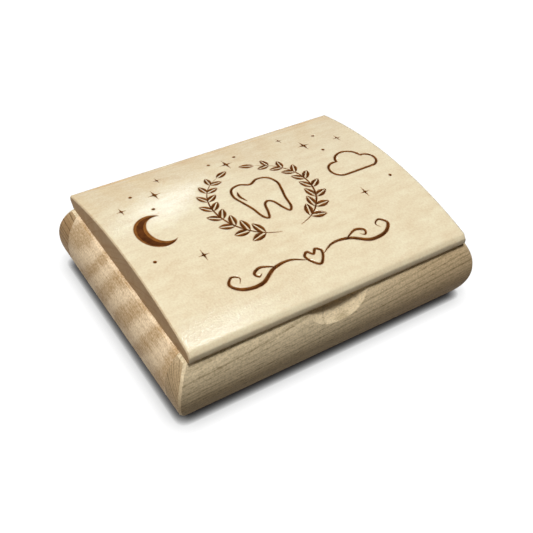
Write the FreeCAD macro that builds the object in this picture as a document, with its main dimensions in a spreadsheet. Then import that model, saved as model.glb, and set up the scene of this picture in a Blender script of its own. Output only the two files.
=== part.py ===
"""Wooden keepsake box for baby teeth: a round-sided frame with an arched lid on two brass butt hinges.

Millimetres. X runs along the box, -Y is the front with the thumb notch, +Z is up.
The origin is on the table, under the middle of the box.
"""
import FreeCAD, Part
import math
import os
import Sketcher

LEFT_AND_RIGHT = {"left": -1, "right": 1}
START, END, CENTRE = range(1, 4)
WHOLE_TURN = 360.0
RIGHT_ANGLE = 90.0
TOUCHING = 1e-4
NOSE_SHARE = 0.7
EASING_SHARE = 0.7
UPSIDE_DOWN = FreeCAD.Rotation(FreeCAD.Vector(1, 0, 0), 180)

# Driving sizes: name, value, what it measures
DRIVING_SIZES = [
    ("frame_length", 111.0, "frame along X, over the fullest part of its round sides"),
    ("frame_depth", 82.0, "frame along Y, over the fullest part of its round sides"),
    ("frame_height", 23.6, "height of the four rails"),
    ("bulge", 4.1, "how far a round side stands out past its top and bottom edges"),
    ("rail_thickness", 12.7, "rail, from its inner face to the fullest part of its round side"),
    ("corner_lip", 8.0, "what the corner rabbet leaves of a long rail at its ends"),
    ("frame_easing", 0.6, "narrow bevel that softens the outer edges of the frame"),
    ("groove_height", 2.8, "underside of the bottom panel above the table"),
    ("groove_depth", 3.5, "how far the panel groove goes into a rail"),
    ("panel_thickness", 3.2, "bottom panel"),
    ("panel_looseness", 0.15, "height of the groove past the panel's thickness"),
    ("panel_slack", 0.3, "room between the panel's edge and the end of its groove"),
    ("felt_thickness", 1.2, "felt on the bottom panel"),
    ("felt_margin", 0.4, "room between the felt and the rails"),
    ("notch_radius", 26.0, "radius of the round cutter that scoops the thumb notch"),
    ("notch_depth", 2.4, "how far the scoop goes past the front rail's top edge"),
    ("notch_tilt", 35.0, "slope of the cutter's way in, in degrees above level"),
    ("front_overhang", 1.2, "lid past the front rail's top edge"),
    ("back_overhang", 2.7, "lid past the back rail's top edge"),
    ("lid_end_inset", 0.6, "lid short of the top edges of the end rails"),
    ("lid_edge", 3.5, "lid thickness at its front and back edges"),
    ("lid_rise", 5.3, "how much thicker the arched lid is along its middle"),
    ("front_bevel", 1.15, "flat along the lid's upper front edge, as far into each face"),
    ("back_nose", 0.7, "radius on the lid's upper back edge"),
    ("lid_easing", 0.4, "narrow bevel on the lid's ends and under its front edge"),
    ("pin_offset", 0.3, "hinge pin's middle line past the back rail's top edge"),
    ("hinge_inset", 4.8, "from the inner face of an end rail to the near end of a hinge"),
    ("hinge_length", 20.0, "one hinge along its pin"),
    ("leaf_width", 7.6, "leaf, from the pin's middle line to its inner edge"),
    ("leaf_thickness", 1.1, "sheet that the leaves are cut from"),
    ("leaf_recess", 0.05, "leaf below the face of the wood that it is let into"),
    ("mortise_room", 0.1, "between a leaf's edges and its mortise"),
    ("barrel_radius", 1.25, "outside of the knuckles"),
    ("barrel_room", 0.2, "round the knuckles, in the wood and in the other leaf"),
    ("middle_knuckle", 7.0, "length of the lid leaf's one knuckle"),
    ("knuckle_gap", 0.15, "end play between the knuckles"),
    ("pin_radius", 0.6, "hinge pin"),
    ("pin_play", 0.05, "between the pin and its bore"),
    ("pin_easing", 0.2, "bevel on the pin's ends"),
    ("screw_margin", 4.0, "from a leaf's end to its near screw"),
    ("screw_setback", 4.5, "from the pin's middle line to the row of screws"),
    ("screw_radius", 0.7, "screw shank"),
    ("screw_head_radius", 1.3, "countersunk head"),
    ("screw_play", 0.03, "between a screw and its hole"),
    ("slot_width", 0.4, "driver slot in a screw head"),
    ("slot_depth", 0.4, "driver slot in a screw head"),
    ("base_screw_length", 8.0, "screws into the back rail"),
]


class Size:
    """A length worked out from the sheet, kept as a formula for the model and as its present value."""

    def __init__(self, formula, value):
        self.formula = formula
        self.value = value

    def joined(self, sign, other, value):
        return Size(f"({self.formula} {sign} {other.formula})", value)

    def __add__(self, other):
        other = as_size(other)
        return self.joined("+", other, self.value + other.value)

    def __radd__(self, other):
        return as_size(other) + self

    def __sub__(self, other):
        other = as_size(other)
        return self.joined("-", other, self.value - other.value)

    def __mul__(self, other):
        other = as_size(other)
        return self.joined("*", other, self.value * other.value)

    def __rmul__(self, other):
        return as_size(other) * self

    def __truediv__(self, other):
        other = as_size(other)
        return self.joined("/", other, self.value / other.value)

    def __neg__(self):
        return -1 * self


def as_size(thing):
    return thing if isinstance(thing, Size) else Size(f"{float(thing)}", float(thing))


def root(size):
    return Size(f"sqrt({size.formula})", math.sqrt(size.value))


def smaller(one, other):
    return Size(f"min({one.formula}; {other.formula})", min(one.value, other.value))


def cosine(degrees):
    return Size(f"cos({degrees.formula} * 1 deg)", math.cos(math.radians(degrees.value)))


def sine(degrees):
    return Size(f"sin({degrees.formula} * 1 deg)", math.sin(math.radians(degrees.value)))


def arc_radius(chord, rise):
    """Radius of the arc that stands up by rise over the middle of a chord."""
    return (chord * chord / 4 + rise * rise) / (2 * rise)


# Sheet of driving sizes

doc = FreeCAD.newDocument("KeepsakeBox")
sheet = doc.addObject("Spreadsheet::Sheet", "Sizes")
size = {}
for row, (alias, value, meaning) in enumerate(DRIVING_SIZES, start=1):
    sheet.set(f"A{row}", alias)
    sheet.set(f"B{row}", str(value))
    sheet.set(f"C{row}", meaning)
    sheet.setAlias(f"B{row}", alias)
    size[alias] = Size(f"Sizes.{alias}", value)
doc.recompute()

# Sizes and places that more than one piece takes from the sheet

half_length = size["frame_length"] / 2
half_depth = size["frame_depth"] / 2
rail_top = size["frame_height"]
edge_x = half_length - size["bulge"]
edge_y = half_depth - size["bulge"]
inner_x = half_length - size["rail_thickness"]
inner_y = half_depth - size["rail_thickness"]
joint_y = half_depth - size["corner_lip"]
side_radius = arc_radius(rail_top, size["bulge"])
floor_height = size["groove_height"] + size["panel_thickness"]
groove_top = floor_height + size["panel_looseness"]
lid_length = 2 * (edge_x - size["lid_end_inset"])
lid_front = edge_y + size["front_overhang"]
lid_back = edge_y + size["back_overhang"]
pin_y = edge_y + size["pin_offset"]
mortise_depth = size["leaf_thickness"] + size["leaf_recess"]
mortise_length = size["hinge_length"] + 2 * size["mortise_room"]
gain_radius = size["barrel_radius"] + size["barrel_room"]
hinge_x = inner_x - size["hinge_inset"] - size["hinge_length"] / 2
screw_spacing = size["hinge_length"] - 2 * size["screw_margin"]
screw_hole_radius = size["screw_radius"] + size["screw_play"]
lid_screw_length = size["lid_edge"]


# Sketches

def new_sketch(body, name, role, offset=0):
    """A sketch on one of the body's own planes, moved along the plane's normal by offset."""
    sketch = body.newObject("Sketcher::SketchObject", name)
    plane = next(feature for feature in body.Origin.OriginFeatures if feature.Role == role)
    sketch.AttachmentSupport = [(plane, "")]
    sketch.MapMode = "FlatFace"
    if isinstance(offset, Size):
        sketch.setExpression("AttachmentOffset.Base.z", offset.formula)
    return sketch


def hold(sketch, constraint, formula):
    """Add a measured constraint and tie it to its formula."""
    index = sketch.addConstraint(constraint)
    name = f"size_{index}"
    sketch.renameConstraint(index, name)
    sketch.setExpression(f"Constraints.{name}", formula)


def hold_point(sketch, edge, which, across, up):
    """Fix a point of an edge at its two coordinates, on an axis where one of them is nought."""
    origin, x_axis, y_axis = -1, -1, -2
    for kind, coordinate, axis in (("DistanceX", across, y_axis), ("DistanceY", up, x_axis)):
        if isinstance(coordinate, Size):
            measured = Sketcher.Constraint(kind, origin, START, edge, which, coordinate.value)
            hold(sketch, measured, coordinate.formula)
        else:
            sketch.addConstraint(Sketcher.Constraint("PointOnObject", edge, which, axis))


def plain(coordinate):
    return as_size(coordinate).value


def same(one, other):
    return abs(one - other) < TOUCHING


def arc_between(start, end, radius):
    """The short arc from start to end: it swells to the right of the way there, or left if negative."""
    chord = end - start
    half_chord = chord.Length / 2
    rise = abs(radius) - math.sqrt(radius ** 2 - half_chord ** 2)
    right = FreeCAD.Vector(chord.y, -chord.x, 0).normalize()
    crown = (start + end) * 0.5 + right * math.copysign(rise, radius)
    return Part.Arc(start, crown, end)


def draw_outline(sketch, corners):
    """A closed outline through the corners (across, up), each with the radius of any arc that follows it.

    The corners run anticlockwise. An arc swells out of the outline, or into it where its side is -1.
    """
    points = [FreeCAD.Vector(plain(corner[0]), plain(corner[1]), 0) for corner in corners]
    edges = []
    for index, corner in enumerate(corners):
        start = points[index]
        end = points[(index + 1) % len(points)]
        if len(corner) == 2:
            edges.append(sketch.addGeometry(Part.LineSegment(start, end)))
            continue
        radius, side = corner[2:]
        arc = sketch.addGeometry(arc_between(start, end, side * radius.value))
        hold(sketch, Sketcher.Constraint("Radius", arc, radius.value), radius.formula)
        edges.append(arc)
    ends = [edge_ends(sketch, edge, points[index]) for index, edge in enumerate(edges)]
    for index, edge in enumerate(edges):
        first_end = ends[index][0]
        last_end_before = ends[index - 1][1]
        meeting = Sketcher.Constraint("Coincident", edges[index - 1], last_end_before, edge, first_end)
        sketch.addConstraint(meeting)
        hold_point(sketch, edge, first_end, corners[index][0], corners[index][1])


def edge_ends(sketch, edge, start):
    """Which end of the edge is its start and which its finish: arcs are always kept anticlockwise."""
    starts_here = same(sketch.getPoint(edge, START).distanceToPoint(start), 0)
    return (START, END) if starts_here else (END, START)


def draw_rectangle(sketch, left, right, low, high):
    draw_outline(sketch, [(left, low), (right, low), (right, high), (left, high)])


def draw_circle(sketch, across, up, radius):
    centre = FreeCAD.Vector(plain(across), plain(up), 0)
    circle = sketch.addGeometry(Part.Circle(centre, FreeCAD.Vector(0, 0, 1), radius.value))
    hold_point(sketch, circle, CENTRE, across, up)
    hold(sketch, Sketcher.Constraint("Radius", circle, radius.value), radius.formula)


# Features

def new_body(label, x=None, y=None, z=None, rotation=FreeCAD.Rotation()):
    """A body whose placement is tied to the sheet."""
    body = doc.addObject("PartDesign::Body", label)
    body.Label = label
    body.Placement = FreeCAD.Placement(FreeCAD.Vector(), rotation)
    for axis, place in (("x", x), ("y", y), ("z", z)):
        if place is not None:
            body.setExpression(f"Placement.Base.{axis}", place.formula)
    return body


def pad(body, sketch, length, both_ways=False):
    feature = body.newObject("PartDesign::Pad", f"{sketch.Name}_pad")
    feature.Profile = sketch
    feature.setExpression("Length", length.formula)
    feature.SideType = "Symmetric" if both_ways else "One side"
    doc.recompute()


def pocket(body, sketch, length=None, both_ways=False, along_normal=False):
    """Cut the sketch into the body, right through it if no length is given."""
    volume_before = body.Shape.Volume
    feature = body.newObject("PartDesign::Pocket", f"{sketch.Name}_cut")
    feature.Profile = sketch
    feature.SideType = "Symmetric" if both_ways else "One side"
    feature.Reversed = along_normal
    if length is None:
        feature.Type = "ThroughAll"
    else:
        feature.setExpression("Length", length.formula)
    finish_cut(body, feature, volume_before)


def finish_cut(body, feature, volume_before):
    doc.recompute()
    if not body.Shape.Volume < volume_before:
        raise RuntimeError(f"{feature.Name} cuts nothing from {body.Label}")


def revolve(body, sketch, feature_type):
    """Turn the sketch round its own upright axis."""
    feature = body.newObject(feature_type, f"{sketch.Name}_turned")
    feature.Profile = sketch
    feature.ReferenceAxis = (sketch, ["V_Axis"])
    feature.Angle = WHOLE_TURN
    return feature


def picked_edges(body, wanted):
    """The edges of the body's last feature whose bounding box passes the wanted test."""
    edges = enumerate(body.Tip.Shape.Edges, start=1)
    return body.Tip, [f"Edge{number}" for number, edge in edges if wanted(edge.BoundBox)]


def ease(body, name, radius, wanted):
    """Round the edges that the wanted test picks."""
    base = picked_edges(body, wanted)
    feature = body.newObject("PartDesign::Fillet", name)
    feature.Base = base
    feature.setExpression("Radius", radius.formula)
    doc.recompute()


def bevel(body, name, width, wanted):
    """Cut a narrow flat along the edges that the wanted test picks."""
    base = picked_edges(body, wanted)
    feature = body.newObject("PartDesign::Chamfer", name)
    feature.Base = base
    feature.setExpression("Size", width.formula)
    doc.recompute()


def level(box):
    return same(box.ZMin, box.ZMax)


# Frame rails

def cut_round_ends(body, name):
    """Give both ends of a long rail the round side that runs on along the end rails."""
    sketch = new_sketch(body, f"{name}_ends", "XZ_Plane")
    for side in LEFT_AND_RIGHT.values():
        edge = side * edge_x
        beyond = side * (half_length + size["bulge"])
        corners = [(edge, 0), (beyond, 0), (beyond, rail_top), (edge, rail_top, side_radius, -1)]
        if side < 0:
            corners = [(edge, rail_top), (beyond, rail_top), (beyond, 0), (edge, 0, side_radius, -1)]
        draw_outline(sketch, corners)
    pocket(body, sketch, both_ways=True)


def cut_rabbets(body, name, side):
    """Cut back the inner corners of a long rail, where the end rails seat."""
    sketch = new_sketch(body, f"{name}_rabbets", "XY_Plane")
    low, high = sorted((side * (inner_y - size["bulge"]), side * joint_y), key=plain)
    beyond = half_length + size["bulge"]
    draw_rectangle(sketch, -beyond, -inner_x, low, high)
    draw_rectangle(sketch, inner_x, beyond, low, high)
    pocket(body, sketch, both_ways=True)


def cut_panel_groove(body, name, plane, side, inner_face):
    """Cut the groove that holds the bottom panel along a rail's inner face."""
    sketch = new_sketch(body, f"{name}_groove", plane)
    near, far = sorted((side * inner_face, side * (inner_face + size["groove_depth"])), key=plain)
    draw_rectangle(sketch, near, far, size["groove_height"], groove_top)
    pocket(body, sketch, both_ways=True)


def rail_section(sketch, side, inner_face, edge):
    """The section of a rail: flat inside, top and bottom, with a round outer side."""
    corners = [(inner_face, 0), (edge, 0, side_radius, 1), (edge, rail_top), (inner_face, rail_top)]
    if side < 0:
        corners = [(-edge, rail_top, side_radius, 1), (-edge, 0), (-inner_face, 0), (-inner_face, rail_top)]
    draw_outline(sketch, corners)


def long_rail(label, side):
    """The front or back rail, which runs the whole length and laps the end rails."""
    body = new_body(label)
    section = new_sketch(body, f"{label}_section", "YZ_Plane")
    rail_section(section, side, inner_y, edge_y)
    pad(body, section, size["frame_length"], both_ways=True)
    cut_round_ends(body, label)
    inner_face = side * inner_y.value
    bevel(body, f"{label}_easing", size["frame_easing"],
          lambda box: not (same(box.YMin, inner_face) and same(box.YMax, inner_face)))
    cut_rabbets(body, label, side)
    cut_panel_groove(body, label, "YZ_Plane", side, inner_y)
    return body


def front_rail():
    body = long_rail("front_rail", -1)
    reach = size["notch_radius"] - size["notch_depth"]
    sketch = new_sketch(body, "thumb_notch", "YZ_Plane")
    sketch.setExpression("AttachmentOffset.Base.x", (-(edge_y + reach * cosine(size["notch_tilt"]))).formula)
    sketch.setExpression("AttachmentOffset.Base.y", (rail_top + reach * sine(size["notch_tilt"])).formula)
    radius = size["notch_radius"]
    draw_outline(sketch, [(0, -radius, radius, 1), (radius, 0, radius, 1), (0, radius)])
    volume_before = body.Shape.Volume
    finish_cut(body, revolve(body, sketch, "PartDesign::Groove"), volume_before)
    return body


def back_rail():
    body = long_rail("back_rail", 1)
    for name, side in LEFT_AND_RIGHT.items():
        cut_hinge_mortise(body, f"back_rail_{name}", side, rail_top, -1)
        cut_pilot_holes(body, f"back_rail_{name}", side, rail_top, -1, size["base_screw_length"])
    return body


def end_rail(label, side):
    """The left or right rail, which seats in the rabbets of the long rails."""
    body = new_body(label)
    section = new_sketch(body, f"{label}_section", "XZ_Plane")
    rail_section(section, side, inner_x, edge_x)
    pad(body, section, 2 * joint_y, both_ways=True)
    edge = side * edge_x.value
    bevel(body, f"{label}_easing", size["frame_easing"],
          lambda box: level(box) and same(box.XMin, edge) and same(box.XMax, edge))
    cut_panel_groove(body, label, "XZ_Plane", side, inner_x)
    return body


# Floor of the box

def flat_board(label, half_x, half_y, thickness, height):
    body = new_body(label, z=height)
    sketch = new_sketch(body, f"{label}_outline", "XY_Plane")
    draw_rectangle(sketch, -half_x, half_x, -half_y, half_y)
    pad(body, sketch, thickness)
    return body


def bottom_panel():
    tongue = size["groove_depth"] - size["panel_slack"]
    return flat_board("bottom_panel", inner_x + tongue, inner_y + tongue,
                      size["panel_thickness"], size["groove_height"])


def felt_liner():
    margin = size["felt_margin"]
    return flat_board("felt_liner", inner_x - margin, inner_y - margin, size["felt_thickness"], floor_height)


# Lid

def lid():
    """The arched lid, flat underneath.

    A 45 degree bevel under its back edge starts at the hinge pin, and lands on the back rail when it is open.
    """
    body = new_body("lid", z=rail_top)
    edge = size["lid_edge"]
    bevel_height = lid_back - pin_y
    arch_radius = arc_radius(lid_front + lid_back, size["lid_rise"])
    section = new_sketch(body, "lid_section", "YZ_Plane")
    underside = [(-lid_front, 0), (pin_y, 0), (lid_back, bevel_height)]
    draw_outline(section, underside + [(lid_back, edge, arch_radius, 1), (-lid_front, edge)])
    pad(body, section, lid_length, both_ways=True)
    back_nose = smaller(size["back_nose"], NOSE_SHARE * (edge - bevel_height))
    bevel(body, "lid_front_bevel", smaller(size["front_bevel"], NOSE_SHARE * edge),
          lambda box: level(box) and same(box.ZMax, edge.value) and same(box.YMax, -lid_front.value))
    ease(body, "lid_back_nose", back_nose,
         lambda box: level(box) and same(box.ZMax, edge.value) and same(box.YMax, lid_back.value))
    half_lid = lid_length.value / 2
    bevel_top = bevel_height.value
    bevel(body, "lid_easing", smaller(size["lid_easing"], EASING_SHARE * back_nose),
          lambda box: (same(abs(box.XMin), half_lid) and same(box.XMin, box.XMax) and box.ZMax > bevel_top)
          or (same(box.YMax, -lid_front.value) and same(box.ZMax, 0)))
    for name, side in LEFT_AND_RIGHT.items():
        cut_hinge_mortise(body, f"lid_{name}", side, 0, 1)
        cut_pilot_holes(body, f"lid_{name}", side, 0, 1, lid_screw_length)
    return body


# Hinges

def cut_hinge_mortise(body, name, side, face, into):
    """Let one leaf and half its barrel into a wooden face: into is -1 below the face and 1 above it."""
    sketch = new_sketch(body, f"{name}_mortise", "YZ_Plane", side * hinge_x)
    front = pin_y - size["leaf_width"] - size["mortise_room"]
    floor = face + into * mortise_depth
    barrel_front = pin_y - root(gain_radius * gain_radius - mortise_depth * mortise_depth)
    barrel_back = pin_y + gain_radius
    if into < 0:
        corners = [(front, face), (front, floor), (barrel_front, floor, gain_radius, 1), (barrel_back, face)]
    else:
        corners = [(front, face), (barrel_back, face, gain_radius, 1), (barrel_front, floor), (front, floor)]
    draw_outline(sketch, corners)
    pocket(body, sketch, mortise_length, both_ways=True)


def screw_places(side):
    """Where the two screws of one hinge stand, along X."""
    middle = side * hinge_x
    return [middle + end * screw_spacing / 2 for end in LEFT_AND_RIGHT.values()]


def cut_pilot_holes(body, name, side, face, into, length):
    sketch = new_sketch(body, f"{name}_pilots", "XY_Plane", face)
    for place in screw_places(side):
        draw_circle(sketch, place, pin_y - size["screw_setback"], screw_hole_radius)
    pocket(body, sketch, length + size["leaf_recess"], along_normal=into > 0)


def hinge_leaf(label, side, into):
    """One leaf with its knuckles: two outer ones below (into -1), or the middle one above (into 1)."""
    body = new_body(label, side * hinge_x, pin_y, rail_top)
    plate = new_sketch(body, f"{label}_plate", "YZ_Plane")
    low, high = sorted((into * size["leaf_recess"], into * mortise_depth), key=plain)
    draw_rectangle(plate, -size["leaf_width"], 0, low, high)
    pad(body, plate, size["hinge_length"], both_ways=True)
    barrel = new_sketch(body, f"{label}_barrel", "YZ_Plane")
    draw_circle(barrel, 0, 0, size["barrel_radius"])
    pad(body, barrel, size["hinge_length"], both_ways=True)
    if into < 0:
        space = new_sketch(body, f"{label}_space", "YZ_Plane")
        draw_circle(space, 0, 0, gain_radius)
        pocket(body, space, size["middle_knuckle"] + 2 * size["knuckle_gap"], both_ways=True)
    else:
        for name, end in LEFT_AND_RIGHT.items():
            space = new_sketch(body, f"{label}_{name}_space", "YZ_Plane", end * size["middle_knuckle"] / 2)
            draw_circle(space, 0, 0, gain_radius)
            pocket(body, space, along_normal=end > 0)
    bore = new_sketch(body, f"{label}_bore", "YZ_Plane")
    draw_circle(bore, 0, 0, size["pin_radius"] + size["pin_play"])
    pocket(body, bore, both_ways=True)
    cut_countersunk_holes(body, label, into)
    return body


def cut_countersunk_holes(body, label, into):
    sketch = new_sketch(body, f"{label}_screw_holes", "XY_Plane", into * size["leaf_recess"])
    for end in LEFT_AND_RIGHT.values():
        draw_circle(sketch, end * screw_spacing / 2, -size["screw_setback"], screw_hole_radius)
    doc.recompute()
    volume_before = body.Shape.Volume
    hole = body.newObject("PartDesign::Hole", f"{label}_countersinks")
    hole.Profile = sketch
    hole.ThreadType = "None"
    hole.HoleCutType = "Countersink"
    hole.HoleCutCustomValues = True
    hole.DepthType = "ThroughAll"
    hole.Reversed = into > 0
    hole.HoleCutCountersinkAngle = RIGHT_ANGLE
    hole.setExpression("Diameter", (2 * screw_hole_radius).formula)
    hole.setExpression("HoleCutDiameter", (2 * (size["screw_head_radius"] + size["screw_play"])).formula)
    finish_cut(body, hole, volume_before)


def hinge_pin(label, side):
    body = new_body(label, side * hinge_x, pin_y, rail_top)
    sketch = new_sketch(body, f"{label}_section", "YZ_Plane")
    draw_circle(sketch, 0, 0, size["pin_radius"])
    pad(body, sketch, size["hinge_length"], both_ways=True)
    bevel(body, f"{label}_ends", size["pin_easing"], lambda box: same(box.XMin, box.XMax))
    return body


def screw(label, x, z, length, rotation):
    """One countersunk screw with a slotted head, which is level with the leaf."""
    body = new_body(label, x, pin_y - size["screw_setback"], z, rotation)
    head = size["screw_head_radius"]
    shank = size["screw_radius"]
    sketch = new_sketch(body, f"{label}_profile", "XZ_Plane")
    draw_outline(sketch, [(0, -length), (shank, -length), (shank, shank - head), (head, 0), (0, 0)])
    revolve(body, sketch, "PartDesign::Revolution")
    doc.recompute()
    slot = new_sketch(body, f"{label}_slot", "XY_Plane")
    draw_rectangle(slot, -head, head, -size["slot_width"] / 2, size["slot_width"] / 2)
    pocket(body, slot, size["slot_depth"])
    return body


def screw_group(label, z, length, rotation=FreeCAD.Rotation()):
    """The four like screws that hold two leaves, as separate solids under one name."""
    places = [place for side in LEFT_AND_RIGHT.values() for place in screw_places(side)]
    group = doc.addObject("Part::Compound", label)
    group.Label = label
    group.Links = [screw(f"{label}_{number}", place, z, length, rotation)
                   for number, place in enumerate(places, start=1)]
    doc.recompute()
    return group


# The whole box

def build():
    sub_parts = [front_rail(), back_rail()]
    sub_parts += [end_rail(f"{name}_rail", side) for name, side in LEFT_AND_RIGHT.items()]
    sub_parts += [bottom_panel(), felt_liner(), lid()]
    for name, side in LEFT_AND_RIGHT.items():
        sub_parts.append(hinge_leaf(f"{name}_hinge_base_leaf", side, -1))
        sub_parts.append(hinge_leaf(f"{name}_hinge_lid_leaf", side, 1))
        sub_parts.append(hinge_pin(f"{name}_hinge_pin", side))
    recess = size["leaf_recess"]
    sub_parts.append(screw_group("base_hinge_screws", rail_top - recess, size["base_screw_length"]))
    sub_parts.append(screw_group("lid_hinge_screws", rail_top + recess, lid_screw_length, UPSIDE_DOWN))
    return sub_parts


def write(sub_parts):
    """Write each sub-part to its own file, once every object of the document is sound."""
    for thing in doc.Objects:
        if "Invalid" in thing.State or "Error" in thing.State:
            raise RuntimeError(f"{thing.Label} is not sound: {thing.State}")
    for sub_part in sub_parts:
        if sub_part.Shape.isNull() or not sub_part.Shape.isValid():
            raise RuntimeError(f"{sub_part.Label} has no sound shape")
    os.makedirs("parts", exist_ok=True)
    for sub_part in sub_parts:
        sub_part.Shape.exportStep(f"parts/{sub_part.Label}.step")
        print(f"{sub_part.Label}: {len(sub_part.Shape.Solids)} solid(s), {sub_part.Shape.Volume:.1f} mm3")


write(build())
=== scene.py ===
"""Looks of the wooden keepsake box: maple, engraved lid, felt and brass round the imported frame. Metres."""
import math
from dataclasses import dataclass, replace

import bpy
from mathutils import Matrix, Vector, kdtree, noise
from mathutils.bvhtree import BVHTree
from mathutils.geometry import delaunay_2d_cdt, normal


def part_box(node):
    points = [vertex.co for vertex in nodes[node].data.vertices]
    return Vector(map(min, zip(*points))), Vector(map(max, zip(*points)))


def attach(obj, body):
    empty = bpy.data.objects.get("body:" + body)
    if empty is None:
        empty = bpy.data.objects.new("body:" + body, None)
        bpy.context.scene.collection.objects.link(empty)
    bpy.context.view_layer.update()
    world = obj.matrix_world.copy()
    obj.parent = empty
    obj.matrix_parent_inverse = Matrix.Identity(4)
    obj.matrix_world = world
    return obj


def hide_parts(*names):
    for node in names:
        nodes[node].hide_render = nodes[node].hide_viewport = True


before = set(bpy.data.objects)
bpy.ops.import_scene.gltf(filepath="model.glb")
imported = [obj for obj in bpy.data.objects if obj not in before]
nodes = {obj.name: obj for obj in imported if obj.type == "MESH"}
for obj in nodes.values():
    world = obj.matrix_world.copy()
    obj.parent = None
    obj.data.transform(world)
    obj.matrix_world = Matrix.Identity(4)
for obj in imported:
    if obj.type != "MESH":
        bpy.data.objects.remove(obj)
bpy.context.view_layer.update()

MM = 0.001
WHITE = (1, 1, 1, 1)

# Camera, as the photograph was taken
CAMERA_TARGET = Vector((-2.59, -4.49, 10.16)) * MM
CAMERA_DISTANCE = 279.9 * MM
CAMERA_AZIMUTH = math.radians(-36.98)
CAMERA_ELEVATION = math.radians(43.25)
CAMERA_ROLL = math.radians(5.51)
CAMERA_LENS = 57.5
CAMERA_SENSOR = 36.0
CAMERA_NEAR = 1 * MM


def point_camera():
    """A camera at the photograph's viewing angle."""
    camera = bpy.data.objects.new("camera", bpy.data.cameras.new("camera"))
    bpy.context.scene.collection.objects.link(camera)
    back = Vector((math.sin(CAMERA_AZIMUTH) * math.cos(CAMERA_ELEVATION),
                   -math.cos(CAMERA_AZIMUTH) * math.cos(CAMERA_ELEVATION),
                   math.sin(CAMERA_ELEVATION)))
    right = Vector((math.cos(CAMERA_AZIMUTH), math.sin(CAMERA_AZIMUTH), 0))
    up = back.cross(right)
    turned_right = right * math.cos(CAMERA_ROLL) + up * math.sin(CAMERA_ROLL)
    turned_up = up * math.cos(CAMERA_ROLL) - right * math.sin(CAMERA_ROLL)
    camera.matrix_world = Matrix((turned_right, turned_up, back)).transposed().to_4x4()
    camera.location = CAMERA_TARGET + back * CAMERA_DISTANCE
    camera.data.lens = CAMERA_LENS
    camera.data.sensor_width = CAMERA_SENSOR
    camera.data.clip_start = CAMERA_NEAR
    bpy.context.scene.camera = camera


class Graph:
    """A material's or world's node tree, with short ways to add nodes and join them."""

    def __init__(self, owner):
        self.owner = owner
        owner.use_nodes = True
        self.tree = owner.node_tree
        self.tree.nodes.clear()

    def put(self, socket, value):
        """A value for a socket: another node's socket is joined to it, and anything else is set."""
        if isinstance(value, bpy.types.NodeSocket):
            self.tree.links.new(value, socket)
        else:
            socket.default_value = value

    def add(self, kind, inputs=None, **settings):
        """A new node with its settings and with values for some of its inputs."""
        node = self.tree.nodes.new("ShaderNode" + kind)
        for key, value in settings.items():
            setattr(node, key, value)
        for key, value in (inputs or {}).items():
            self.put(node.inputs[key], value)
        return node

    def math(self, operation, *operands, clamp=False):
        node = self.add("Math", dict(enumerate(operands)), operation=operation, use_clamp=clamp)
        return node.outputs[0]

    def vector(self, operation, first, second):
        return self.add("VectorMath", {0: first, 1: second}, operation=operation).outputs[0]

    def split(self, vector):
        """The X, Y and Z of a vector."""
        return self.add("SeparateXYZ", {0: vector}).outputs

    def swing(self, total, source, strength):
        """The total, moved up and down by a source that runs from 0 to 1."""
        return self.math("MULTIPLY_ADD", self.math("SUBTRACT", source, 0.5), strength, total)

    def mix(self, share, first, second, blend="MIX"):
        """Two colours mixed, by a share that is 0 for the first one alone."""
        node = self.add("Mix", data_type="RGBA", blend_type=blend)
        for key, value in (("Factor_Float", share), ("A_Color", first), ("B_Color", second)):
            self.put(next(s for s in node.inputs if s.identifier == key), value)
        return next(s for s in node.outputs if s.identifier == "Result_Color")

    def ramp(self, share, stops):
        """A number turned into a grey through stops of (place, brightness)."""
        node = self.add("ValToRGB", {"Fac": share})
        elements = node.color_ramp.elements
        while len(elements) < len(stops):
            elements.new(1)
        for element, (place, level) in zip(elements, stops):
            element.position = place
            element.color = (level, level, level, 1)
        return node.outputs["Color"]

    def noise(self, place, scale, detail=2.0, roughness=0.5, shift=0.0):
        """Smooth noise at a place, stretched by a scale for each direction, per metre."""
        stretched = self.add("Mapping", {"Vector": place, "Scale": scale, "Location": (shift,) * 3})
        node = self.add("TexNoise", {"Vector": stretched.outputs[0], "Scale": 1.0, "Detail": detail,
                                     "Roughness": roughness})
        return node.outputs["Fac"]

    def bump(self, height, strength, depth, base=None):
        """Surface normals that follow a pattern of heights, on top of a base normal if there is one."""
        inputs = {"Height": height, "Strength": strength, "Distance": depth}
        if base:
            inputs["Normal"] = base
        return self.add("Bump", inputs).outputs[0]

    def seen_directly(self):
        """1 for what the camera sees, directly, mirrored or through glass, and 0 for light on its way."""
        path = self.add("LightPath").outputs
        seen = self.math("MAXIMUM", path["Is Camera Ray"], path["Is Glossy Ray"])
        return self.math("MAXIMUM", seen, path["Is Transmission Ray"])

    def finish(self, shader):
        """The material, with this shader on its surface."""
        self.add("OutputMaterial", {"Surface": shader})
        return self.owner

    def surface(self, looks):
        """The material, with one main shader of these looks."""
        return self.finish(self.add("BsdfPrincipled", looks).outputs[0])


def new_material(name):
    return Graph(bpy.data.materials.new(name))


# Floor, with a shadow that deepens where the box nearly touches it
FLOOR_SIZE = 6
FLOOR_GREY = (0.08, 0.08, 0.08, 1)
FLOOR_BOUNCE = (0.1, 0.076, 0.05, 1)
CONTACT_REACH = 3 * MM
CONTACT_DEPTH = 2.4
SHADOW_REACH = 7 * MM
SHADOW_DEPTH = 0.7
SHADOW_SAMPLES = 16


def shadow(graph, reach, depth):
    """1 in the open, and less within reach of the box."""
    open_share = graph.add("AmbientOcclusion", {"Distance": reach}, samples=SHADOW_SAMPLES).outputs["AO"]
    return graph.math("POWER", open_share, depth)


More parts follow.
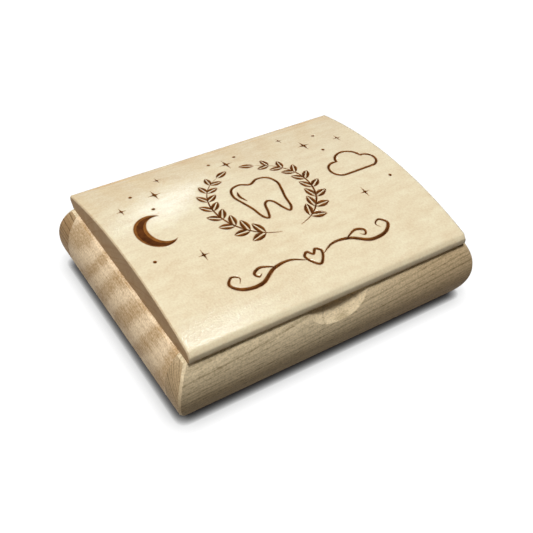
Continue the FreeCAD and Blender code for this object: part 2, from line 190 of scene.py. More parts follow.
def stage_floor():
    """A plain white floor that keeps the box's shadow."""
    graph = new_material("floor_white")
    contact = shadow(graph, CONTACT_REACH, CONTACT_DEPTH)
    around = shadow(graph, SHADOW_REACH, SHADOW_DEPTH)
    glow = graph.add("Emission", {"Strength": graph.math("MULTIPLY", contact, around)})
    lit = graph.add("BsdfDiffuse", {"Color": FLOOR_GREY})
    white = graph.add("AddShader", {0: lit.outputs[0], 1: glow.outputs[0]})
    dim = graph.add("BsdfDiffuse", {"Color": FLOOR_BOUNCE})
    shown = graph.add("MixShader", {0: graph.seen_directly(), 1: dim.outputs[0], 2: white.outputs[0]})
    bpy.ops.mesh.primitive_plane_add(size=FLOOR_SIZE)
    floor = bpy.context.object
    floor.name = "floor"
    floor.data.materials.append(graph.finish(shown.outputs[0]))


def light_world(ambient):
    """An even surround, seen as white and lighting the box with the ambient colour."""
    world = bpy.data.worlds.new("studio")
    bpy.context.scene.world = world
    graph = Graph(world)
    shown = graph.mix(graph.seen_directly(), ambient, WHITE)
    background = graph.add("Background", {"Color": shown})
    graph.add("OutputWorld", {"Surface": background.outputs[0]})


def soft_box(name, direction, distance, width, height, power, colour=(1, 1, 1)):
    """A studio lamp that looks at the point under the middle of the box. Metres and watts."""
    lamp = bpy.data.lights.new(name, "AREA")
    lamp.shape = "RECTANGLE"
    lamp.size = width
    lamp.size_y = height
    lamp.energy = power
    lamp.color = colour
    thing = bpy.data.objects.new(name, lamp)
    bpy.context.scene.collection.objects.link(thing)
    away = Vector(direction).normalized()
    thing.location = away * distance
    thing.rotation_mode = "QUATERNION"
    thing.rotation_quaternion = away.to_track_quat("Z", "Y")


@dataclass
class Board:
    """How a maple board was cut and how it shows its grain. Lengths in millimetres, angles in degrees.

    The rings run round a line through the pith, one for each year. The shares from base to curl say how
    much of the dark colour each mark of the grain brings.
    """
    name: str
    light: tuple
    dark: tuple
    axis: str = "X"
    pith: tuple = (0, 30, 40)
    slope: float = 0.0
    year: float = 2.2
    base: float = 0.15
    rings: float = 0.5
    fibres: float = 0.35
    flecks: float = 0.3
    streaks: float = 0.4
    blotches: float = 0.3
    mottle: float = 0.1
    speckle: float = 0.2
    curl: float = 0.0
    curl_width: float = 6.0
    curl_lean: float = 0.0
    end_tone: tuple = (0.72, 0.63, 0.55, 1)
    easing: float = 0.35
    seed: float = 0.0
    # Painted shade: a tone that darkens the board towards its far end, as if less light fell there
    far_shade: tuple = None
    polished: bool = False


# Marks of the grain, with scales per metre along the grain and across it
NOISE_MIDDLE = (0.5, 0.5, 0.5)
BEND_SCALE = (9, 45, 45)
BEND_REACH = 2 * MM
FIBRE_SCALE = (90, 2600, 2600)
FLECK_SCALE = (380, 3200, 3200)
FLECK_EDGES = [(0.55, 0.0), (0.72, 1.0)]
STREAK_SCALE = (14, 420, 420)
BLOTCH_SCALE = (18, 60, 60)
MOTTLE_SCALE = (150, 350, 350)
SPECKLE_SCALE = (1700, 1700, 1700)
LATE_WOOD = [(0.0, 0.3), (0.08, 0.0), (0.7, 0.1), (0.9, 1.0), (1.0, 0.3)]
YEAR_DRIFT_SCALE = 180.0
YEAR_DRIFT = 2.5
YEAR_STRENGTHS = (0.7, 0.3)
CURL_EDGES = [(0.15, 0.0), (0.85, 1.0)]
CURL_DRIFT_SCALE = (40, 40, 40)
CURL_DRIFT = 1.6
CURL_FRAY = 3 * MM

# Cut ends, worn corners and tints of a board, among them a painted shade towards its far end
END_RINGS = 0.55
END_EDGES = [(0.55, 0.0), (0.9, 1.0)]
WORN_EDGES = [(0.1, 1.0), (0.3, 0.2)]
HEARTWOOD_REACH = (74 * MM, 79 * MM)
HEARTWOOD_SCALE = (60, 500, 500)
HEARTWOOD_EDGES = [(0.4, 0.0), (0.65, 1.0)]
HEARTWOOD_TONE = (0.96, 0.80, 0.60, 1)
BLUSH_REACH = (50 * MM, 78 * MM)
BLUSH_LEVELS = (0.35, 0.45)
BLUSH_TONE = (0.92, 0.82, 0.68, 1)
# Painted shade towards the far end of a board, darker and browner along this reach
FAR_SHADE_REACH = (-10 * MM, 50 * MM)
FAR_SHADE_SHARE = 0.9
SCORCH_TONE = (0.42, 0.22, 0.08, 1)
SCORCH_SHARE = 0.6

# Lacquer over the grain
ROUGHNESS = 0.55
FIBRE_ROUGHNESS = 0.2
LACQUER_GLOSS = 0.1
POLISH_GLOSS = 0.5
POLISH_SMOOTHING = -0.38
POLISH_EDGES = [(0.75, 0.0), (0.95, 1.0)]
PORE_RELIEF = 3.6
GRAIN_STRENGTH = 0.25
GRAIN_DEPTH = 0.05 * MM
EASING_SAMPLES = 8


def grain_places(graph, board, place):
    """Places in the board with its grain along X from the pith, straight and then with gentle bends."""
    turn = (0, math.radians(board.slope), math.radians(-90) if board.axis == "Y" else 0)
    offset = tuple(-value * MM for value in board.pith)
    laid = graph.add("Mapping", {"Vector": place, "Location": offset, "Rotation": turn}).outputs[0]
    drift = graph.add("Mapping", {"Vector": laid, "Scale": BEND_SCALE, "Location": (board.seed, 0, 0)})
    bend = graph.add("TexNoise", {"Vector": drift.outputs[0], "Scale": 1.0}).outputs["Color"]
    centred = graph.vector("SUBTRACT", bend, NOISE_MIDDLE)
    shift = graph.vector("MULTIPLY", centred, (0, BEND_REACH, BEND_REACH))
    return laid, graph.vector("ADD", laid, shift)


def year_rings(graph, bent, year):
    """Dark late wood at the end of each year's ring round the pith."""
    across = graph.vector("MULTIPLY", bent, (0, 1, 1))
    radius = graph.add("VectorMath", {0: across}, operation="LENGTH").outputs["Value"]
    drift = graph.add("TexNoise", {"W": radius, "Scale": YEAR_DRIFT_SCALE}, noise_dimensions="1D")
    years = graph.math("DIVIDE", radius, year * MM)
    count = graph.math("MULTIPLY_ADD", drift.outputs["Fac"], YEAR_DRIFT, years)
    late = graph.ramp(graph.math("FRACT", count), LATE_WOOD)
    number = graph.math("FLOOR", count)
    chance = graph.add("TexWhiteNoise", {"W": number}, noise_dimensions="1D").outputs["Value"]
    return graph.math("MULTIPLY", late, graph.math("MULTIPLY_ADD", chance, *YEAR_STRENGTHS))


def curl_bands(graph, board, laid, fibres):
    """Soft bands across the grain, frayed along the fibres and uneven in width."""
    frayed = graph.vector("ADD", laid, graph.vector("MULTIPLY", fibres, (CURL_FRAY, 0, 0)))
    lean = (0, math.radians(board.curl_lean), 0)
    leaning = graph.add("Mapping", {"Vector": frayed, "Rotation": lean}).outputs[0]
    along = graph.split(leaning)["X"]
    drift = graph.noise(leaning, CURL_DRIFT_SCALE, shift=board.seed)
    bands = graph.math("DIVIDE", along, board.curl_width * MM)
    turns = graph.math("MULTIPLY_ADD", drift, CURL_DRIFT, bands)
    wave = graph.math("SINE", graph.math("MULTIPLY", turns, 2 * math.pi))
    return graph.ramp(graph.math("MULTIPLY_ADD", wave, 0.5, 0.5), CURL_EDGES)


def grain_marks(graph, board, laid, bent):
    """The board's marks by name, each a pattern from 0 to 1."""
    fibres = graph.noise(bent, FIBRE_SCALE, detail=3.0, roughness=0.6)
    return {
        "fibres": fibres,
        "streaks": graph.noise(bent, STREAK_SCALE, shift=board.seed),
        "blotches": graph.noise(laid, BLOTCH_SCALE, detail=3.0, shift=board.seed),
        "mottle": graph.noise(laid, MOTTLE_SCALE, detail=3.0, shift=board.seed),
        "speckle": graph.noise(laid, SPECKLE_SCALE, detail=1.0, shift=board.seed),
        "curl": curl_bands(graph, board, laid, fibres),
    }


def grain_tone(graph, board, bent, marks, facing, cut_end):
    """How dark the grain is, from 0 for the board's light colour to 1 for its dark one."""
    corner = graph.math("ABSOLUTE", graph.math("MULTIPLY", facing["X"], facing["Y"]))
    worn = graph.ramp(corner, WORN_EDGES)
    rings = year_rings(graph, bent, board.year)
    strength = graph.math("MULTIPLY_ADD", cut_end, END_RINGS, board.rings)
    tone = graph.math("MULTIPLY_ADD", rings, graph.math("MULTIPLY", worn, strength), board.base)
    flecks = graph.ramp(graph.noise(bent, FLECK_SCALE, detail=1.0, shift=board.seed), FLECK_EDGES)
    tone = graph.math("MULTIPLY_ADD", flecks, graph.math("MULTIPLY", worn, board.flecks), tone)
    tone = graph.swing(tone, marks["fibres"], graph.math("MULTIPLY", worn, board.fibres))
    for mark in ("streaks", "blotches", "mottle", "speckle", "curl"):
        tone = graph.swing(tone, marks[mark], getattr(board, mark))
    return graph.math("ADD", tone, 0.0, clamp=True)


def tinted(graph, colour, place, reach, figure, tone):
    """The colour, tinted more and more along a reach of the board, as far as a figure shows there."""
    near = graph.add("MapRange", {"Value": place, "From Min": reach[0], "From Max": reach[1]},
                     interpolation_type="SMOOTHSTEP").outputs[0]
    return graph.mix(graph.math("MULTIPLY", near, figure), colour, tone, blend="MULTIPLY")


def lid_figure(graph, colour, bent, curl):
    """The lid's colour, with a blush and heartwood towards its back and scorched rims round its grooves."""
    across = graph.split(bent)["Y"]
    blush = graph.math("MULTIPLY_ADD", curl, *BLUSH_LEVELS)
    colour = tinted(graph, colour, across, BLUSH_REACH, blush, BLUSH_TONE)
    heartwood = graph.ramp(graph.noise(bent, HEARTWOOD_SCALE, detail=3.0), HEARTWOOD_EDGES)
    colour = tinted(graph, colour, across, HEARTWOOD_REACH, heartwood, HEARTWOOD_TONE)
    scorch = graph.add("Attribute", attribute_name="scorch").outputs["Fac"]
    return graph.mix(graph.math("MULTIPLY", scorch, SCORCH_SHARE), colour, SCORCH_TONE)


def wood(board):
    """Lacquered maple with rings round a pith line, fibres along the grain and curl across it."""
    graph = new_material(board.name)
    place = graph.add("TexCoord").outputs
    laid, bent = grain_places(graph, board, place["Object"])
    marks = grain_marks(graph, board, laid, bent)
    facing = graph.split(place["Normal"])
    cut_end = graph.ramp(graph.math("ABSOLUTE", facing[board.axis]), END_EDGES)
    tone = grain_tone(graph, board, bent, marks, facing, cut_end)
    colour = graph.mix(tone, board.light, board.dark)
    colour = graph.mix(cut_end, colour, board.end_tone, blend="MULTIPLY")
    # Painted shade: the board darker and browner towards its far end, where less light falls
    if board.far_shade:
        colour = tinted(graph, colour, graph.split(laid)["X"], FAR_SHADE_REACH, FAR_SHADE_SHARE, board.far_shade)

    rough = graph.swing(ROUGHNESS, marks["fibres"], FIBRE_ROUGHNESS)
    relief = marks["fibres"]
    gloss = LACQUER_GLOSS
    if board.polished:
        colour = lid_figure(graph, colour, bent, marks["curl"])
        polish = graph.ramp(facing["Z"], POLISH_EDGES)
        rough = graph.math("MULTIPLY_ADD", polish, POLISH_SMOOTHING, rough)
        relief = graph.math("MULTIPLY_ADD", marks["speckle"], PORE_RELIEF, relief)
        gloss = POLISH_GLOSS
    rounded = graph.add("Bevel", {"Radius": board.easing * MM}, samples=EASING_SAMPLES).outputs[0]
    grain = graph.bump(relief, GRAIN_STRENGTH, GRAIN_DEPTH, rounded)
    return graph.surface({"Base Color": colour, "Roughness": rough, "Specular IOR Level": gloss,
                          "Normal": grain})


BURN_SCALE = (400, 400, 400)
BURN_EDGES = [(0.35, 0.0), (0.7, 1.0)]
GRIT_SCALE = (6000, 6000, 6000)
GRIT_STRENGTH = 0.4
GRIT_DEPTH = 0.05 * MM
BURNT_ROUGHNESS = 0.9
BURNT_GLOSS = 0.05


def burnt(name, light, dark):
    """Wood that a laser has scorched, a little uneven along its lines."""
    graph = new_material(name)
    place = graph.add("TexCoord").outputs["Object"]
    tone = graph.ramp(graph.noise(place, BURN_SCALE, detail=4.0), BURN_EDGES)
    grit = graph.bump(graph.noise(place, GRIT_SCALE), GRIT_STRENGTH, GRIT_DEPTH)
    return graph.surface({"Base Color": graph.mix(tone, light, dark), "Roughness": BURNT_ROUGHNESS,
                          "Specular IOR Level": BURNT_GLOSS, "Normal": grit})


SCRATCH_SCALE = (300, 9000, 9000)
SCRATCH_ROUGHNESS = 0.2
SCRATCH_STRENGTH = 0.2
SCRATCH_DEPTH = 0.01 * MM
TARNISH_SCALE = (260, 260, 260)
TARNISH_EDGES = [(0.45, 0.0), (0.8, 0.7)]
TARNISH_SHADE = 0.55


def brass(name, colour, roughness):
    """Drawn brass with fine scratches and a little tarnish."""
    graph = new_material(name)
    place = graph.add("TexCoord").outputs["Object"]
    scratches = graph.noise(place, SCRATCH_SCALE)
    tarnish = graph.ramp(graph.noise(place, TARNISH_SCALE, detail=4.0), TARNISH_EDGES)
    dull = tuple(part * TARNISH_SHADE for part in colour[:3]) + (1,)
    return graph.surface({"Base Color": graph.mix(tarnish, colour, dull), "Metallic": 1.0,
                          "Roughness": graph.swing(roughness, scratches, SCRATCH_ROUGHNESS),
                          "Normal": graph.bump(scratches, SCRATCH_STRENGTH, SCRATCH_DEPTH)})


MAT_SCALE = (2500, 2500, 2500)
MAT_TONE = 2.0
CLUMP_SCALE = (700, 700, 700)
CLUMP_TONE = 1.4
CLOUDY_SCALE = (150, 150, 150)
CLOUDY_TONE = 0.8
FELT_TONE = 0.5
FELT_STRENGTH = 0.8
FELT_DEPTH = 0.25 * MM
FELT_ROUGHNESS = 0.95
FELT_GLOSS = 0.1
FELT_SHEEN = 0.15


def felt_cloth(name, light, dark):
    """Pressed felt: matted fibres, a soft mottle and a dusty sheen."""
    graph = new_material(name)
    place = graph.add("TexCoord").outputs["Object"]
    mats = graph.noise(place, MAT_SCALE, detail=5.0, roughness=0.7)
    clumps = graph.noise(place, CLUMP_SCALE)
    cloudy = graph.noise(place, CLOUDY_SCALE, detail=3.0)
    tone = FELT_TONE
    for pattern, strength in ((mats, MAT_TONE), (cloudy, CLOUDY_TONE), (clumps, CLUMP_TONE)):
        tone = graph.swing(tone, pattern, strength)
    pile = graph.bump(graph.math("ADD", mats, clumps), FELT_STRENGTH, FELT_DEPTH)
    return graph.surface({"Base Color": graph.mix(tone, light, dark), "Roughness": FELT_ROUGHNESS,
                          "Sheen Weight": FELT_SHEEN, "Specular IOR Level": FELT_GLOSS, "Normal": pile})


def dress(node, material):
    """The material on one of the frame's nodes, in place of what it had."""
    nodes[node].data.materials.clear()
    nodes[node].data.materials.append(material)


class Shell:
    """A mesh put together face by face: corners at one place are joined, and each keeps its own normal."""

    def __init__(self):
        self.index = {}
        self.faces = []
        self.normals = []
        self.paints = []

    def face(self, points, normals, paint):
        self.faces.append([self.index.setdefault(tuple(point), len(self.index)) for point in points])
        self.normals.extend(normals)
        self.paints.append(paint)

    def build(self, name, materials):
        mesh = bpy.data.meshes.new(name)
        mesh.from_pydata(list(self.index), [], self.faces)
        for material in materials:
            mesh.materials.append(material)
        mesh.polygons.foreach_set("material_index", self.paints)
        mesh.polygons.foreach_set("use_smooth", [True] * len(self.faces))
        mesh.normals_split_custom_set(self.normals)
        thing = bpy.data.objects.new(name, mesh)
        bpy.context.scene.collection.objects.link(thing)
        return thing


# Engraving on the lid, in millimetres seen from above: x to the right, y to the back
LINE = 0.42
FINE_LINE = 0.3
THINNEST = 0.03


@dataclass
class Stroke:
    """One burnt line: the points along its middle and its half width at each."""
    path: list
    widths: list
    closed: bool = False


def even(path, width, closed=False):
    """A line as wide all along."""
    return Stroke(path, [width] * len(path), closed)


def swelling(path, width, peak=0.5):
    """A line that swells from a point at one end to its full width and back to a point."""
    bend = math.log(0.5) / math.log(peak)
    shares = [step / (len(path) - 1) for step in range(len(path))]
    return Stroke(path, [max(width * math.sin(math.pi * share ** bend), THINNEST) for share in shares])


def arc(centre, radii, start, end, steps=24):
    """Points on part of an ellipse, from a start angle to an end angle in degrees."""
    points = []
    for step in range(steps + 1):
        angle = math.radians(start + (end - start) * step / steps)
        points.append(Vector((centre[0] + radii[0] * math.cos(angle),
                              centre[1] + radii[1] * math.sin(angle))))
    return points


def curve(knots, closed=False, steps=8):
    """A smooth curve through its knots."""
    knots = [Vector(knot) for knot in knots]
    if closed:
        around = [knots[-1], *knots, knots[0], knots[1]]
    else:
        around = [knots[0], *knots, knots[-1]]
    path = []
    for before, here, after, beyond in zip(around, around[1:], around[2:], around[3:]):
        for step in range(steps):
            t = step / steps
            path.append(0.5 * (2 * here + (after - before) * t
                               + (2 * before - 5 * here + 4 * after - beyond) * t ** 2
                               + (3 * here - before - 3 * after + beyond) * t ** 3))
    return path if closed else path + [knots[-1]]


def mirrored(knots):
    """Knots of the right half, followed by those of the left half back to the start."""
    return knots + [(-x, y) for x, y in reversed(knots) if abs(x) > 0]


def moved(knots, centre):
    return [(centre[0] + x, centre[1] + y) for x, y in knots]


def flipped(strokes):
    """The same strokes on the other side of the lid's middle."""
    return [Stroke([Vector((-p.x, p.y)) for p in s.path], s.widths, s.closed) for s in strokes]


def loop_line(right_half, centre):
    """An even line round a shape that is its own mirror image."""
    return even(curve(moved(mirrored(right_half), centre), closed=True), LINE, closed=True)


TOOTH = [(0, 7.0), (3.4, 8.5), (6.9, 7.4), (8.3, 3.6), (7.3, -0.6), (6.2, -4.2), (5.4, -8.6), (3.9, -10.2),
         (2.6, -7.6), (1.6, -4.4), (0, -3.2)]
SHINE = [(-5.9, 5.4), (-6.5, 2.9), (-5.6, -0.2)]
SHINE_WIDTH = 0.45


def tooth(centre):
    """A plain molar in outline, with a line of shine."""
    return [loop_line(TOOTH, centre), swelling(curve(moved(SHINE, centre)), SHINE_WIDTH)]


HALF_LEAF = [(0.0, 0.2), (0.25, 0.5), (0.5, 0.56), (0.75, 0.42), (1.0, 0.1)]
HALF_LEAF_WIDTH = 0.4


def leaf(base, angle, length, width):
    """A leaf in two halves with its rib left bare."""
    along = Vector((math.cos(angle), math.sin(angle)))
    side = Vector((-along.y, along.x))
    halves = []
    for way in (1, -1):
        knots = [Vector(base) + along * length * t + side * way * width * u for t, u in HALF_LEAF]
        halves.append(swelling(curve(knots, steps=4), width * HALF_LEAF_WIDTH))
    return halves


FIRST_LEAF = 0.12
LEAF_LEAN = 0.75
LEAF_LENGTH = 5.6
LEAF_SHORTENING = 1.6
LEAF_WIDTH = 1.5
LEAF_NARROWING = 0.4
TIP_LENGTH = 5.0
TIP_WIDTH = 1.3


def sprig(centre, radius, start, end, leaves):
    """A stem along part of a circle with leaves on both sides and one at its tip."""
    stem = arc(centre, (radius, radius), start, end, steps=40)
    strokes = [swelling(stem, FINE_LINE, peak=0.4)]
    quarter_turn = math.copysign(math.pi / 2, end - start)
    for number in range(leaves):
        share = FIRST_LEAF + (1 - FIRST_LEAF) * number / leaves
        angle = math.radians(start + (end - start) * share)
        base = Vector((math.cos(angle), math.sin(angle))) * radius + Vector(centre)
        for lean in (LEAF_LEAN, -LEAF_LEAN):
            strokes += leaf(base, angle + quarter_turn + lean, LEAF_LENGTH - LEAF_SHORTENING * share,
                            LEAF_WIDTH - LEAF_NARROWING * share)
    return strokes + leaf(stem[-1], math.radians(end) + quarter_turn, TIP_LENGTH, TIP_WIDTH)


MOON_WIDE = 0.72
MOON_TALL = 0.86
MOON_HORNS = (62, 298)
MOON_BELLY = 0.26


def moon(centre, radius):
    """A crescent with its horns to the right."""
    middle = arc(centre, (radius * MOON_WIDE, radius * MOON_TALL), *MOON_HORNS, steps=36)
    return [swelling(middle, radius * MOON_BELLY)]


SPARKLE_STEPS = 12
SPARKLE_BELLY = 0.2
SPARKLE_TAPER = 1.6
SPARKLE_ACROSS = 0.75


def sparkle(centre, size):
    """A four-pointed gleam."""
    x, y = centre
    reach = [size * (2 * step / SPARKLE_STEPS - 1) for step in range(SPARKLE_STEPS + 1)]
    widths = [max(SPARKLE_BELLY * size * (1 - abs(r) / size) ** SPARKLE_TAPER, THINNEST) for r in reach]
    tall = Stroke([Vector((x, y + r)) for r in reach], widths)
    wide = Stroke([Vector((x + r * SPARKLE_ACROSS, y)) for r in reach], widths)
    return [tall, wide]


DOT_STEPS = 8


def dot(centre, radius):
    """A round spot."""
    reach = [radius * math.sin(math.pi * (step / DOT_STEPS - 0.5)) for step in range(DOT_STEPS + 1)]
    widths = [max(math.sqrt(max(radius ** 2 - r ** 2, 0)), THINNEST) for r in reach]
    return [Stroke([Vector((centre[0] + r, centre[1])) for r in reach], widths)]


# Each puff's middle, radius, and start and end angles in degrees
PUFFS = [((6, -1.6), 3.4, -90, 94), ((1, 1.6), 4.8, 2, 171), ((-5, -1.2), 3.8, 71, 270)]
CLOUD_RIGHT = 6
CLOUD_WIDTH = 11
CLOUD_DROP = 5
CLOUD_STEPS = 12


def cloud(centre):
    """A small cloud in outline."""
    x, y = centre
    strokes = []
    for middle, size, start, end in PUFFS:
        strokes.append(even(arc((x + middle[0], y + middle[1]), (size, size), start, end), LINE))
    underside = [Vector((x + CLOUD_RIGHT - CLOUD_WIDTH * step / CLOUD_STEPS, y - CLOUD_DROP))
                 for step in range(CLOUD_STEPS + 1)]
    return strokes + [even(underside, LINE)]


WAVE = [(3, 0), (8, 2.2), (14, 1.6), (20, -1.6), (26, -1.2), (29.2, 1.6), (27.4, 4), (25.2, 2.9), (26, 1.2)]
WAVE_WIDTH = 0.6
TWIG = [(13, 1.8), (17.5, 3.6), (20.4, 2.4), (19.6, 0.8), (18.2, 1.6)]
TWIG_WIDTH = 0.45


def scroll(centre):
    """The right half of a flourish: a long wave that curls up at its end, with a twig."""
    return [swelling(curve(moved(knots, centre)), width, peak=0.4)
            for knots, width in ((WAVE, WAVE_WIDTH), (TWIG, TWIG_WIDTH))]


HEART = [(0, 1.2), (1.5, 2.6), (3.0, 1.4), (2.2, -0.8), (0, -2.8)]
WREATH_MIDDLE = (0, 5)
WREATH_RADIUS = 17.5
WREATH_ENDS = (-78, 66)
WREATH_LEAVES = 8
MOON_PLACE = (-36, 6)
MOON_RADIUS = 8
CLOUD_PLACE = (36, 6)
SPARKLES = [((-29, 23), 2.8), ((-42, 20), 1.9), ((-30, -10), 2.2), ((-24, 31), 1.6), ((29, 23), 2.8),
            ((42, 21), 1.9), ((31, -9), 2.2), ((24, 31), 1.6), ((0, 27), 3.0)]
DOTS = [(-36, 26), (-44, -6), (-33, 16), (36, 27), (44, -6), (33, 17), (-5, 30), (5, 30)]
DOT_RADIUS = 0.55
FLOURISH_MIDDLE = (0, -25)


def engraving():
    """A tooth in a wreath of leaves, a moon and a cloud at its sides and a flourish in front."""
    strokes = tooth(WREATH_MIDDLE)
    right_sprig = sprig(WREATH_MIDDLE, WREATH_RADIUS, *WREATH_ENDS, WREATH_LEAVES)
    strokes += right_sprig + flipped(right_sprig)
    strokes += moon(MOON_PLACE, MOON_RADIUS) + cloud(CLOUD_PLACE)
    for place, size in SPARKLES:
        strokes += sparkle(place, size)
    for place in DOTS:
        strokes += dot(place, DOT_RADIUS)
    right_scroll = scroll(FLOURISH_MIDDLE)
    strokes += right_scroll + flipped(right_scroll)
    strokes.append(loop_line(HEART, FLOURISH_MIDDLE))
    return strokes


# Grooves: rows of points across a stroke as shares of its half width, and sizes in millimetres
ROW_SHARES = (-1.0, -0.55, 0.0, 0.55, 1.0)
HALO = 0.3
GROOVE_DEPTH = 0.3
DEPTH_PER_WIDTH = 0.9
TOP_GRID = 3.0
GRID_ROOM = TOP_GRID / 3
SAME_PLACE = 1e-5
INSIDE_RIM = 1
DOWN = Vector((0, 0, -1))


class LidTop:
    """The lid's arched top in plan: its points, the lines that bound the grooves and their floors."""

    def __init__(self, rim):
        self.rim = list(range(len(rim)))
        self.points = list(rim)
        self.depths = [0.0] * len(rim)
        self.lines = []
        self.cuts = []

    def add_points(self, points, depth):
        """New points at one depth. Returns their numbers."""
        numbers = range(len(self.points), len(self.points) + len(points))
        self.points += points
        self.depths += [depth] * len(points)
        return numbers

    def add_stroke(self, stroke):
        """Rows of points along the stroke: a halo outside each rim, and a wall and a floor inside."""
        rows = []
        last = len(stroke.path) - 1
        for number, (point, width) in enumerate(zip(stroke.path, stroke.widths)):
            if stroke.closed:
                along = stroke.path[(number + 1) % (last + 1)] - stroke.path[number - 1]
            else:
                along = stroke.path[min(number + 1, last)] - stroke.path[max(number - 1, 0)]
            side = Vector((-along.y, along.x)).normalized()
            halo = width + HALO
            offsets = [-halo, *(share * width for share in ROW_SHARES), halo]
            depth = min(GROOVE_DEPTH, DEPTH_PER_WIDTH * width)
            rows.append(self.add_points([point + side * offset for offset in offsets], depth))
            if not stroke.closed and number in (0, last):
                beyond = along.normalized() * (HALO if number else -HALO)
                self.add_points([point + beyond + side * offset for offset in (-halo, 0, halo)], 0.0)
        pairs = list(zip(rows, rows[1:]))
        if stroke.closed:
            pairs.append((rows[-1], rows[0]))
        for here, there in pairs:
            self.lines += zip(here, there)
            self.cuts.append((here[1], there[1], there[-2]))
            self.cuts.append((here[1], there[-2], here[-2]))

    def add_grid(self, low, high):
        """Points between the strokes, so that the top keeps its arch."""
        tree = kdtree.KDTree(len(self.points))
        for number, point in enumerate(self.points):
            tree.insert(point.to_3d(), number)
        tree.balance()
        columns = int((high[0] - low[0]) / TOP_GRID)
        rows = int((high[1] - low[1]) / TOP_GRID)
        for column in range(1, columns):
            for row in range(1, rows):
                point = Vector((low[0] + (high[0] - low[0]) * column / columns,
                                low[1] + (high[1] - low[1]) * row / rows))
                if tree.find(point.to_3d())[2] > GRID_ROOM:
                    self.add_points([point], 0.0)

    def triangles(self):
        """Points, triangles, whether each is cut away, each point's depth, and the points it came from."""
        found = delaunay_2d_cdt(self.points, self.lines, [self.rim], INSIDE_RIM, SAME_PLACE)
        points, _, triangles, from_points, _, _ = found
        grooves = BVHTree.FromPolygons([point.to_3d() for point in self.points], self.cuts)
        cut = []
        for triangle in triangles:
            middle = sum((points[corner] for corner in triangle), Vector((0, 0))) / len(triangle)
            groove = grooves.ray_cast(middle.to_3d() - DOWN, DOWN)[0]
            cut.append(groove is not None)
        sunk = [True] * len(points)
        for triangle, away in zip(triangles, cut):
            for corner in triangle:
                sunk[corner] = sunk[corner] and away
        depths = [max((self.depths[s] for s in sources), default=GROOVE_DEPTH) if low else 0.0
                  for sources, low in zip(from_points, sunk)]
        return points, triangles, cut, depths, from_points


class Arch:
    """The round of the lid's top, from the front to the back, through three points in y and z."""

    def __init__(self, first, second, third):
        a = second - first
        b = third - first
        turn = 2 * (a.x * b.y - a.y * b.x)
        self.middle = first + Vector((b.y * a.length_squared - a.y * b.length_squared,
                                      a.x * b.length_squared - b.x * a.length_squared)) / turn
        self.radius = (first - self.middle).length

    def rise(self, y):
        """How far the arch stands above the middle of its circle."""
        return math.sqrt(self.radius ** 2 - (y - self.middle.x) ** 2)

    def height(self, y):
        return self.middle.y + self.rise(y)

    def normal(self, y):
        return Vector((0, y - self.middle.x, self.rise(y))) / self.radius


def rim_of(polygons):
    """The closed loop of vertex numbers round some polygons."""
    edges = set()
    for polygon in polygons:
        corners = list(polygon.vertices)
        edges.update(zip(corners, corners[1:] + corners[:1]))
    following = {start: end for start, end in edges if (end, start) not in edges}
    loop = [min(following)]
    while following[loop[-1]] != loop[0]:
        loop.append(following[loop[-1]])
    return loop


# Slopes that tell the lid's faces apart, and the order of its materials
ARCH_SLOPE = 0.955
END_SLOPE = 0.3
LEVEL = 1e-3
TOP_PAINT, SIDE_PAINT, FLOOR_PAINT, WALL_PAINT = range(4)


def add_cut_top(shell, rim):
    """The arched top inside its rim, with the engraving's grooves in it."""
    by_depth = sorted((Vector((co.y, co.z)) for co in rim), key=lambda place: place.x)
    arch = Arch(by_depth[0], by_depth[len(by_depth) // 2], by_depth[-1])
    flat = [co.xy / MM for co in rim]
    top = LidTop(flat)
    for stroke in engraving():
        top.add_stroke(stroke)
    top.add_grid([min(values) for values in zip(*flat)], [max(values) for values in zip(*flat)])
    points, triangles, cut, depths, from_points = top.triangles()

    def on_arch(number):
        """A point of the top, lowered by its depth, and the arch's normal there."""
        first = min(from_points[number], default=len(rim))
        if first < len(rim):
            place = rim[first]
        else:
            x, y = points[number] * MM
            place = Vector((x, y, arch.height(y) - depths[number] * MM))
        return place, arch.normal(place.y)

    for triangle, away in zip(triangles, cut):
        places, normals = zip(*(on_arch(number) for number in triangle))
        paint = TOP_PAINT
        if away:
            wall = any(depths[number] == 0 for number in triangle)
            paint = WALL_PAINT if wall else FLOOR_PAINT
            normals = [normal(places)] * len(places) if wall else normals
        shell.face(places, normals, paint)


def scorch_rims(lid):
    """A mark on each corner of the grooves, which fades out over the faces round them."""
    scorch = lid.data.attributes.new("scorch", "FLOAT", "POINT")
    for polygon in lid.data.polygons:
        if polygon.material_index in (FLOOR_PAINT, WALL_PAINT):
            for number in polygon.vertices:
                scorch.data[number].value = 1.0


def engraved_lid(materials):
    """The lid with its arched top cut again, with the engraving's grooves in it."""
    plain = nodes["lid"].data
    arched = [p for p in plain.polygons if abs(p.normal.x) < LEVEL and p.normal.z > ARCH_SLOPE]
    taken = {polygon.index for polygon in arched}
    shell = Shell()
    for polygon in plain.polygons:
        if polygon.index not in taken:
            end_or_under = abs(polygon.normal.x) > END_SLOPE or polygon.normal.z < -END_SLOPE
            shell.face([plain.vertices[v].co for v in polygon.vertices],
                       [plain.corner_normals[loop].vector.copy() for loop in polygon.loop_indices],
                       SIDE_PAINT if end_or_under else TOP_PAINT)
    add_cut_top(shell, [plain.vertices[number].co.copy() for number in rim_of(arched)])
    lid = shell.build("engraved_lid", materials)
    scorch_rims(lid)
    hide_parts("lid")
    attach(lid, "cover")


FELT_CELL = 1.0 * MM
FELT_BODY = 1.0 * MM
BELOW_TOP = -1
FELT_WAVE = 0.14 * MM
BROAD_RIPPLE = 12 * MM
FINE_RIPPLE = 3 * MM
FINE_SHARE = 0.5


def felt_drop(x, y):
    """How far the felt's uneven top lies below its highest."""
    place = Vector((x, y, 0))
    ripple = noise.noise(place / BROAD_RIPPLE) + FINE_SHARE * noise.noise(place / FINE_RIPPLE)
    return FELT_WAVE * (0.5 + ripple / (2 * (1 + FINE_SHARE)))


